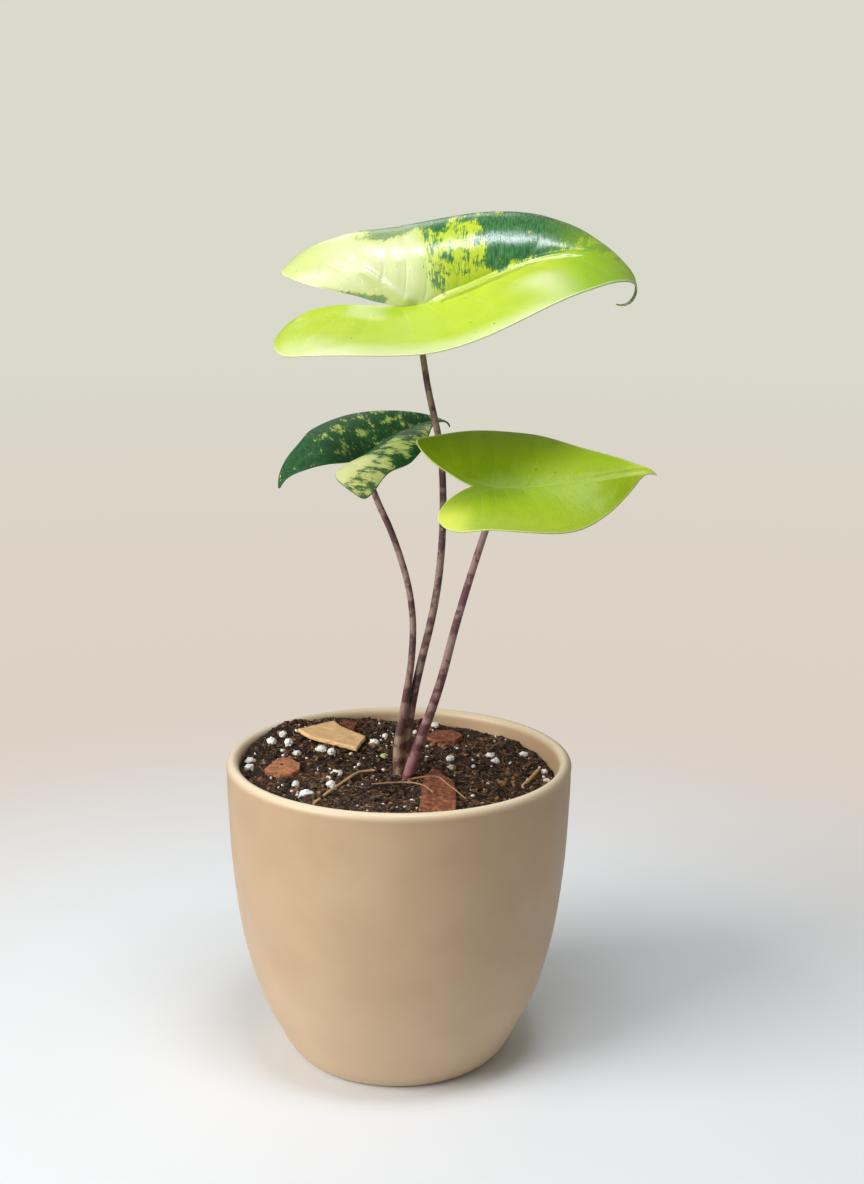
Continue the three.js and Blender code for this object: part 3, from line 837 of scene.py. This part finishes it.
# where points of the flat leaf, s along the midrib and t to its left, come on the bent leaf
def bend(leaf, table, s, t):
    share = s / np.where(s > 0, leaf["apexLength"], leaf["lobeLength"])

    def mix(three):
        return np.radians(three[0] + np.where(share > 0, three[1], three[2]) * share ** 2)

    along, across = midribDirection(leaf, share)
    up = np.cross(along, across)
    roll = mix(leaf["roll"])[:, None]
    side = across * np.cos(roll) + up * np.sin(roll)
    normal = up * np.cos(roll) - across * np.sin(roll)
    fold = np.where(t < 0, mix(leaf["right"][0]), mix(leaf["left"][0]))
    curve = np.where(t < 0, mix(leaf["right"][1]), mix(leaf["left"][1]))
    curve = np.where(np.abs(curve) < 1e-4, 1e-4, curve)
    end = fold + curve * np.abs(t) / leaf["halfWidth"]
    scale = leaf["halfWidth"] / curve
    middle = np.stack([np.interp(s, table[0], table[1][:, k]) for k in range(3)], -1)
    return (middle + side * (np.sign(t) * scale * (np.sin(end) - np.sin(fold)))[:, None]
            + normal * (scale * (np.cos(fold) - np.cos(end)))[:, None])


def wholeOutline(leaf):
    corners = [(a * leaf["lobeLength"] if a < 0 else a * leaf["apexLength"], b * leaf["halfWidth"])
               for a, b in leaf["outline"]]
    left = throughPoints(corners, leaf["perStretch"])
    left[:, 1] = np.maximum(left[:, 1], 0)
    intoLobe = np.clip(-left[:, 0] / leaf["lobeLength"], 0, 1)
    right = np.stack([left[:, 0] * (1 + leaf["rightLobeLonger"] * intoLobe), -left[:, 1]], -1)
    return np.vstack([right, left[-2:0:-1]])


# the veins of a flat leaf: start, end, how far it bows forwards, and half width, in millimetres
def veinsOf(leaf):
    apex, lobe, wide = leaf["apexLength"], leaf["lobeLength"], leaf["halfWidth"]
    veins = [((0, 0), (apex * 0.96, 0), 0, wide * 0.022)]
    for way, longer in ((1, 1), (-1, 1 + leaf["rightLobeLonger"])):
        back = lobe * longer
        veins.append(((0, 0), (-back * 0.9, way * wide * 0.5), 0.1, wide * 0.017))
        for share, reach in ((0.02, 0.04), (0.14, 0.24), (0.27, 0.42), (0.4, 0.57), (0.53, 0.7),
                             (0.66, 0.82)):
            edge = np.interp(reach, [0, 0.32, 0.6, 0.8, 0.9], [1, 0.88, 0.655, 0.27, 0.05])
            veins.append(((apex * share, 0), (apex * reach, way * wide * edge * 0.94), -0.12,
                          wide * 0.012))
        for share, end, out in ((0.12, -0.16, 0.93), (0.34, -0.46, 0.92), (0.58, -0.78, 0.78)):
            root = (-back * 0.9 * share, way * wide * 0.5 * share)
            veins.append((root, (back * end, way * wide * out), -0.08, wide * 0.011))
        for share, end, out in ((0.3, -0.42, 0.1), (0.6, -0.78, 0.22)):
            root = (-back * 0.9 * share, way * wide * 0.5 * share)
            veins.append((root, (back * end, way * wide * out), 0.05, wide * 0.009))
    return veins


# closeness to the nearest vein, 1 on it, and the distance to it in millimetres
def veinField(leaf, s, t):
    closeness = np.zeros(len(s))
    nearest = np.full(len(s), 1e3)
    steps = 14
    for start, end, bow, width in veinsOf(leaf):
        start, end = np.array(start, float), np.array(end, float)
        run = end - start
        sideways = np.array([-run[1], run[0]]) * bow * (1 if run[1] >= 0 else -1)
        best = np.full(len(s), 1e3)
        places = [start + run * u + sideways * 4 * u * (1 - u) for u in np.linspace(0, 1, steps)]
        taper = np.ones(len(s))
        for i, (a, b) in enumerate(zip(places, places[1:])):
            length = np.dot(b - a, b - a)
            u = np.clip(((s - a[0]) * (b[0] - a[0]) + (t - a[1]) * (b[1] - a[1])) / length, 0, 1)
            away = np.hypot(s - a[0] - u * (b[0] - a[0]), t - a[1] - u * (b[1] - a[1]))
            closer = away < best
            best = np.where(closer, away, best)
            taper = np.where(closer, 1 - 0.75 * (i + u) / (steps - 1), taper)
        closeness = np.maximum(closeness, taper * np.exp(-(best / (width * (0.5 + 0.5 * taper))) ** 2))
        nearest = np.minimum(nearest, best)
    return closeness, nearest


# how green the marbled parts are: 0 is none, 0.5 half, and 1 nearly all
def largeMarbling(s, t):
    # the left lobe is pale, and so is the whole right half; the left half ahead of the stalk is marbled
    ahead = smoothStep(-1, 15, s - 0.1 * t)
    splash = smoothStep(9, 15, s) * (1 - smoothStep(25, 32, s - 0.15 * t)) * (1 - smoothStep(22, 31, t))
    green = ahead * (0.98 - 0.58 * splash)
    green -= 0.42 * (1 - smoothStep(1, 6, t)) * (1 - smoothStep(50, 60, s))
    green -= 0.3 * smoothStep(22, 30, t) * smoothStep(18, 26, s)
    green -= 0.46 * smoothStep(50, 66, s)
    backEdge = smoothStep(23, 31, t - 0.25 * (s + 8)) * smoothStep(-30, -18, s)
    notchEdge = smoothStep(-32, -27, s) * (1 - smoothStep(-15, -8, s)) * (1 - smoothStep(2, 5, t))
    green = np.maximum(green, np.maximum(0.85 * backEdge * (1 - smoothStep(16, 24, s)), 0.9 * notchEdge))
    return np.where(t > 0.3, green, 0)


def marbledMarbling(s, t):
    # flecked all over, most on the right half; the right lobe is cream by the notch
    out = np.abs(t)
    right = 0.9 - 0.36 * smoothStep(6, 13, out) * (1 - smoothStep(21, 25, out))
    left = 0.94 - 0.22 * smoothStep(-14, -4, s) + 0.1 * smoothStep(14, 22, out)
    green = np.where(t < 0, right, left)
    clusters = np.array([noise.noise(Vector((a / 7, b / 5, 3))) for a, b in zip(s, t)])
    green = green - 0.3 * smoothStep(34, 44, s) + 0.4 * clusters
    cream = (1 - smoothStep(-12, -7, s + 0.2 * t)) * (t < -0.5) * (1 - smoothStep(13, 17, out))
    green = np.where((t < 0) & (s < -8), np.minimum(green, 0.5), green)
    return np.clip(green * (1 - 1.3 * cream), -0.2, 1.1)


# the raised rib of the left lobe, 1 along its crest
def lobeRib(leaf, s, t):
    back, out = leaf["lobeLength"] * 0.9, leaf["halfWidth"] * 0.5
    length = math.hypot(back, out)
    along = (out * t - back * s) / length
    off = (back * t + out * s) / length
    fading = smoothStep(0, 5, along) * (1 - smoothStep(0.4 * length, 0.8 * length, along))
    return fading * np.exp(-(off / 1.7) ** 2)


def leafFields(node, leaf, s, t):
    veins, away = veinField(leaf, s, t)
    if node == "leaf_large":
        green = largeMarbling(s, t)
        pale = (1 - smoothStep(0, 17, s)) * (1 - 0.5 * smoothStep(26, 38, -s)) * (t > 0)
        # the right half pales towards its margin and lobe: its own pale colour, with a painted sheen where
        # light glances off the margin
        pale = np.maximum(pale, smoothStep(27, 42, -t) * 0.8)
        pale = np.maximum(pale, 0.8 * smoothStep(20, 42, -t) * smoothStep(8, 40, -s))
        # painted reflection: a pale band on the right half where the light's sheen lies, put into the pale
        # colour
        paintedSheen = np.exp(-((s - 46 + 0.5 * (t + 16)) / 9) ** 2) * smoothStep(5, 14, -t)
        pale = np.maximum(pale, 0.75 * paintedSheen)
        pale = np.maximum(pale, 0.5 * smoothStep(-26, -20, s) * (1 - smoothStep(-14, -8, s))
                          * (1 - smoothStep(4, 8, np.abs(t + 5))))
        deep = smoothStep(44, 68, s - 0.3 * t) * np.where(t < 1.5, 1, 0.7)
        # painted shade: a darker yellow-green patch on the right lobe by the stalk, where the lobe lies in
        # shadow
        deep = np.maximum(deep, 0.6 * np.exp(-(np.hypot(s + 9, (t + 4) * 2) / 7) ** 2) * (t < 0))
    elif node == "leaf_lime":
        green = np.zeros(len(s))
        pale = smoothStep(42, 55, s) * 0.75
        pale = np.maximum(pale, 0.2 * smoothStep(6, 24, -t))
        pale = np.maximum(pale, smoothStep(-4, -16, s) * smoothStep(6, 18, -t))
        deep = 0.75 * (1 - smoothStep(4, 24, np.hypot(s + 3, t - 3)))
        deep = np.maximum(deep, 0.5 * smoothStep(0, 14, t) * (1 - smoothStep(-5, 40, s)))
        deep = deep * (1 - 0.8 * smoothStep(3, 12, -t))
    else:
        green = marbledMarbling(s, t)
        pale = (1 - smoothStep(-12, -6, s)) * (t < 0)
        deep = 0.6 * (1 - smoothStep(4, 15, np.hypot(s + 3, t - 5)))
        deep = np.where(t < -1, 0, deep)
    return veins, away, green, pale, deep


def makeLeaf(node, top, under):
    leaf = leafShapes[node]
    outline = wholeOutline(leaf)
    count, rings = len(outline), leaf["rings"]
    deselectAll()
    bpy.ops.mesh.primitive_circle_add(vertices=count, radius=1, fill_type="TRIFAN")
    piece = bpy.context.object
    bpy.ops.object.mode_set(mode="EDIT")
    bpy.ops.mesh.select_all(action="SELECT")
    for _ in range(rings - 1):
        bpy.ops.mesh.inset(thickness=1 / rings, depth=0, use_even_offset=False)
    bpy.ops.object.mode_set(mode="OBJECT")
    disc = getPlaces(piece)
    radius = np.hypot(disc[:, 0], disc[:, 1])
    ring = np.round(radius * rings) / rings
    # the first vertex of a circle lies on +Y
    turn = np.arctan2(disc[:, 1], disc[:, 0]) / math.tau - 0.25
    turn = np.round(turn * count).astype(int) % count
    s, t = outline[turn, 0] * ring, outline[turn, 1] * ring
    table = midribTable(leaf)
    veins, away, green, pale, deep = leafFields(node, leaf, s, t)
    # the fold along the midrib is rounded
    soft = leaf["foldRound"] * np.exp(-(t / 3) ** 2) * smoothStep(2, 12, s)
    places = (bend(leaf, table, s, t + soft) + bend(leaf, table, s, t - soft)) / 2
    small = 0.4
    normal = np.cross(bend(leaf, table, s + small, t) - bend(leaf, table, s - small, t),
                      bend(leaf, table, s, t + small) - bend(leaf, table, s, t - small))
    normal /= np.linalg.norm(normal, axis=1)[:, None]
    # the blade swells a little between its veins, and each vein lies in a shallow furrow
    inside = 1 - smoothStep(0.86, 1, ring)
    relief = leaf["relief"] * leaf["halfWidth"]
    quilt = 0.008 * relief * smoothStep(0, leaf["halfWidth"] * 0.1, away)
    furrow = 0.008 * relief * veins
    ripple = 0.12 * np.array([noise.noise(Vector((a / 5, b / 5, 0))) for a, b in zip(s, t)])
    dimple = 0.25 * np.exp(-(np.hypot(s, t) / 3) ** 2)
    rib = lobeRib(leaf, s, t)
    pale = np.maximum(pale, min(1, leaf["rib"]) * rib)
    crest = leaf["rib"] * rib
    places += normal * ((quilt - furrow + ripple - dimple + crest) * inside)[:, None]
    # the bent leaf is set where the CAD leaf is
    low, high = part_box(node)
    middle = (places.max(axis=0) + places.min(axis=0)) / 2 * mm
    places = places * mm - middle + np.array((low + high) / 2)
    setPlaces(piece, places)
    seat = Vector(places[np.hypot(s - stalkShape["seatAt"], t).argmin()])
    fields = {"flat": np.stack([s, t, 0 * s], -1), "veins": veins, "green": green, "pale": pale,
              "deep": deep, "rim": ring}
    for name, values in fields.items():
        setAttribute(piece, name, values)
    cleanMesh(piece, 0.002 * mm, outwards=False)
    piece.data.materials.append(top)
    piece.data.materials.append(under)
    applyModifier(piece, "SOLIDIFY", thickness=leafThickness, offset=0, use_rim=True,
                  material_offset=1, material_offset_rim=0)
    piece.data.materials.clear()
    finishPiece(piece, leaf["name"], [top, under], [node])
    return seat


leafLooks = {
    "leaf_large": {
        "light": ("#a6c018", "#bed03e"), "pale": "#d7dfa6", "deep": "#92ba00",
        "green": ("#194e30", "#468a42"), "splash": "#cbdb24", "rim": "#e2ecb0",
        "fleckSize": 1.1, "specular": 0.95, "rough": (0.19, 0.3), "haze": 0.3,
    },
    "leaf_lime": {
        "light": ("#86a60a", "#98b016"), "pale": "#c6d052", "deep": "#6c900a",
        "green": ("#2f6b2c", "#4c8a3c"), "splash": "#b6cf1e", "rim": "#ccd888",
        "fleckSize": 1.0, "specular": 0.35, "rough": (0.34, 0.46), "haze": 0,
    },
    "leaf_marbled": {
        "light": ("#a6c054", "#dce498"), "pale": "#e2e6a6", "deep": "#0e3018",
        "green": ("#153f22", "#2e6b3a"), "splash": "#bccf66", "rim": "#2f7040",
        "fleckSize": 0.8, "specular": 0.3, "rough": (0.36, 0.5), "haze": 0.1,
    },
}


def leafMaterial(node, side):
    # living waxy leaf: a smooth cuticle over fine ribbing between the veins
    looks = leafLooks[node]
    material, tree = newTree(leafShapes[node]["name"] + side)
    flat = addNode(tree, "Attribute", attribute_name="flat").outputs["Vector"]
    fields = {name: addNode(tree, "Attribute", attribute_name=name).outputs["Fac"]
              for name in ("veins", "green", "pale", "deep", "rim")}
    # along the side veins, which lean forwards from the midrib
    split = addNode(tree, "SeparateXYZ", {0: flat})
    out = addNode(tree, "Math", {0: split.outputs["Y"]}, operation="ABSOLUTE")
    between = addNode(tree, "Math", {0: out, 1: -0.35, 2: split}, operation="MULTIPLY_ADD")
    leaning = addNode(tree, "CombineXYZ", {0: between, 1: split.outputs["Y"]})
    ribbing = addNode(tree, "Mapping", {"Vector": leaning, "Scale": (1 / 0.55, 1 / 3.2, 1)})
    ribs = addNode(tree, "TexNoise", {"Vector": ribbing, "Scale": 1, "Detail": 3, "Roughness": 0.6})
    blotching = addNode(tree, "Mapping", {"Vector": leaning, "Scale": (1 / 5, 1 / 8, 1)})
    blotches = addNode(tree, "TexNoise", {
        "Vector": blotching, "Scale": 1 / looks["fleckSize"], "Detail": 7, "Roughness": 0.7})
    soft = addNode(tree, "TexNoise", {"Vector": flat, "Scale": 0.12, "Detail": 3})
    # a blotch and a rib of middling strength add 1.3 and 0.6 to the share of green
    above = addNode(tree, "Math", {0: blotches, 1: 2.6, 2: fields["green"]}, operation="MULTIPLY_ADD")
    above = addNode(tree, "Math", {0: ribs, 1: 1.2, 2: above}, operation="MULTIPLY_ADD")
    greenMask = addNode(tree, "MapRange", {"Value": above, "From Min": 2.28, "From Max": 2.54},
                        interpolation_type="SMOOTHSTEP")
    ribTone = addNode(tree, "MapRange", {"Value": ribs, "From Min": 0.36, "From Max": 0.66})
    greens, lights = looks["green"], looks["light"]
    green = addNode(tree, "MixRGB", {"Fac": ribTone, "Color1": greens[0], "Color2": greens[1]})
    colour = addNode(tree, "MixRGB", {"Fac": soft, "Color1": lights[0], "Color2": lights[1]})
    haze = addNode(tree, "Math", {0: fields["pale"], 1: looks["haze"]}, operation="MULTIPLY")
    veinTint = leafShapes[node]["veinTint"]
    veins = addNode(tree, "Math", {0: fields["veins"], 1: veinTint}, operation="MULTIPLY")
    rim = addNode(tree, "MapRange", {
        "Value": fields["rim"], "From Min": 0.975, "From Max": 1.0, "To Max": 0.8},
        interpolation_type="SMOOTHSTEP")
    # a few pinprick scars
    spots = addNode(tree, "TexVoronoi", {"Vector": flat, "Scale": 1 / 7})
    chosen = addNode(tree, "SeparateColor", {0: spots.outputs["Color"]})
    near = addNode(tree, "Math", {0: spots, 1: 0.05}, operation="LESS_THAN")
    some = addNode(tree, "Math", {0: chosen, 1: 0.8}, operation="GREATER_THAN")
    scars = addNode(tree, "Math", {0: near, 1: some}, operation="MULTIPLY")
    # where green is possible, the rest is a stronger yellow-green, and the pale colour, which on the large
    # leaf also carries its painted sheen, lies over both again
    layers = [
        (fields["pale"], looks["pale"]), (fields["green"], looks["splash"]), (greenMask, green),
        (haze, looks["pale"]), (fields["deep"], looks["deep"]), (veins, looks["rim"]),
        (rim, looks["rim"]), (scars, "#4a4a1c"),
    ]
    if side == "Under":
        layers.append((0.5, "#93a96a"))
    for share, over in layers:
        colour = addNode(tree, "MixRGB", {"Fac": share, "Color1": colour, "Color2": over})
    glossy = looks["rough"] if side == "Top" else (0.55, 0.7)
    rough = addNode(tree, "MapRange", {"Value": ribs, "To Min": glossy[0], "To Max": glossy[1]})
    addSurface(tree, colour, rough, ribs, 0.12 * mm, {
        "Subsurface Weight": 0.12, "Subsurface Radius": (0.6, 1, 0.25),
        "Subsurface Scale": 0.8 * mm, "IOR": 1.45, "Specular IOR Level": looks["specular"]})
    return material


# floor, light and camera

view = {
    "place": (0.01186, -0.64807, 0.332), "down": 13.19, "roll": 0.48,
    "focal": 1800, "longSide": 1184, "sensor": 36,
    "backdrop": "#d9d9cc", "fill": 0.38,   # the fill is how much of the backdrop's light reaches the plant
}


# the backdrop is seen at full strength, and lights the plant with a share of it
def seenStrength(tree):
    seen = addNode(tree, "LightPath").outputs["Is Camera Ray"]
    return addNode(tree, "MapRange", {"Value": seen, "To Min": view["fill"], "To Max": 1})


# the floor is white by the pot, and fades into the backdrop
def makeStage():
    deselectAll()
    bpy.ops.mesh.primitive_circle_add(vertices=128, radius=6, fill_type="NGON")
    floor = bpy.context.object
    floor.name = "floor"
    material, tree = newTree("paintedFloor")
    place = addNode(tree, "TexCoord").outputs["Object"]
    far = addNode(tree, "VectorMath", {0: place}, operation="LENGTH")
    paint = addNode(tree, "BsdfPrincipled", {"Base Color": "#e5e7ea", "Roughness": 0.7})
    tint = addNode(tree, "MapRange", {"Value": far.outputs["Value"], "From Min": 0.3, "From Max": 2.5})
    colour = addNode(tree, "MixRGB", {"Fac": tint, "Color1": "#ddd0c4", "Color2": view["backdrop"]})
    glow = addNode(tree, "Emission", {"Color": colour, "Strength": seenStrength(tree)})
    fade = addNode(tree, "MapRange", {
        "Value": far.outputs["Value"], "From Min": 0.15, "From Max": 0.48}, interpolation_type="SMOOTHSTEP")
    mixed = addNode(tree, "MixShader", {0: fade, 1: paint, 2: glow})
    addNode(tree, "OutputMaterial", {"Surface": mixed})
    floor.data.materials.append(material)


def addLight(name, place, target, size, power, colour):
    lamp = bpy.data.lights.new(name, "AREA")
    lamp.shape = "RECTANGLE"
    lamp.size, lamp.size_y = size
    lamp.energy = power
    lamp.color = linear(colour)[:3]
    light = bpy.data.objects.new(name, lamp)
    light.location = place
    light.rotation_euler = (Vector(target) - Vector(place)).to_track_quat("-Z", "Y").to_euler()
    bpy.context.scene.collection.objects.link(light)


def makeLights():
    addLight("windowLeft", (-1.15, -0.7, 0.85), (0, 0, 0.16), (1.0, 1.1), 25, "#fffdfa")
    addLight("skylight", (0.1, -0.26, 1.34), (0, 0, 0.25), (0.4, 0.3), 7.5, "#eef4ff")
    addLight("backPanel", (-0.2, 1.3, 1.1), (0, 0, 0.2), (0.6, 0.4), 1.2, "#ffffff")
    world = bpy.data.worlds.new("paleStudio")
    world.use_nodes = True
    tree = world.node_tree
    tree.nodes.clear()
    sky = addNode(tree, "Background", {"Color": view["backdrop"], "Strength": seenStrength(tree)})
    addNode(tree, "OutputWorld", {"Surface": sky})
    bpy.context.scene.world = world


def makeCamera():
    camera = bpy.data.objects.new("camera", bpy.data.cameras.new("camera"))
    camera.data.sensor_width = view["sensor"]
    camera.data.lens = view["focal"] / view["longSide"] * view["sensor"]
    camera.data.clip_start = 0.01
    tilt = Matrix.Rotation(math.radians(90 - view["down"]), 4, "X")
    roll = Matrix.Rotation(math.radians(view["roll"]), 4, "Z")
    camera.matrix_world = Matrix.Translation(view["place"]) @ tilt @ roll
    bpy.context.scene.collection.objects.link(camera)
    bpy.context.scene.camera = camera


bpy.context.scene.view_settings.view_transform = "Standard"
makeCamera()
makeLights()
makeStage()
print("stage, light and camera made")

makePot()
print("pot spun")

makeSoil()
crumbMaterial = peatMaterial()
scatter("peatCrumbs", crumbMaterial)
# broken pine bark: flat, rusty to near black
barkBitMaterial = mottledMaterial("brokenBark", [
    (0.45, "#241713"), (0.78, "#523026"), (1.0, "#94583a")], 1.5 * mm, 0.8, 0.2 * mm)
scatter("barkBits", barkBitMaterial)
# expanded perlite: chalky white glass foam
perliteMaterial = mottledMaterial("expandedPerlite", [
    (0.35, "#d9d6ce"), (0.8, "#f4f3ef")], 0.6 * mm, 0.85, 0.12 * mm)
scatter("perliteSpecks", perliteMaterial)
# coir fibre: dry and rusty
fibreMaterial = mottledMaterial("coirFibre", [
    (0.4, "#4a3224"), (0.8, "#8c6646"), (1.0, "#b8925e")], 2 * mm, 0.7, 0.02 * mm)
makeFibres(fibreMaterial)
print("potting mix filled")

# split pale wood: straight grain, dry
woodMaterial = mottledMaterial("splitPaleWood", [
    (0.45, "#d09a62"), (0.7, "#fac88e"), (0.95, "#ffe0b4")], 1.6 * mm, 0.7, 0.2 * mm,
    (0.35, 1.6, 1.6), 0.3)
# pine bark: plated, matt, red-brown
barkMaterial = mottledMaterial("pineBark", [
    (0.5, "#3a221b"), (0.78, "#844831"), (1.0, "#bd7f58")], 1.8 * mm, 0.8, 0.3 * mm)
for chip in chipShapes:
    makeChip(chip, woodMaterial if chip == "wood_chip" else barkMaterial)
# dry twig and dead root
twigMaterial = mottledMaterial("dryTwig", [
    (0.45, "#9a7450"), (0.8, "#d2ab7c"), (1.0, "#e4c69c")], 1.2 * mm, 0.65, 0.08 * mm)
rootMaterial = mottledMaterial("deadRoot", [
    (0.45, "#6e4c38"), (0.8, "#a98564"), (1.0, "#c4a37e")], 1.0 * mm, 0.65, 0.05 * mm)
for rod in rodShapes:
    makeRod(rod, twigMaterial if rod.startswith("twig") else rootMaterial)
perliteNodes = sorted(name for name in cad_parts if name.startswith("perlite_"))
for index, perliteNode in enumerate(perliteNodes):
    makePerlite(perliteNode, perliteMaterial, index)
makeBead()
print("chips, twigs and perlite laid")

seats = {leafNode: makeLeaf(leafNode, leafMaterial(leafNode, "Top"), leafMaterial(leafNode, "Under"))
         for leafNode in leafShapes}
makeStalks(seats)
print("stalks and leaves grown")
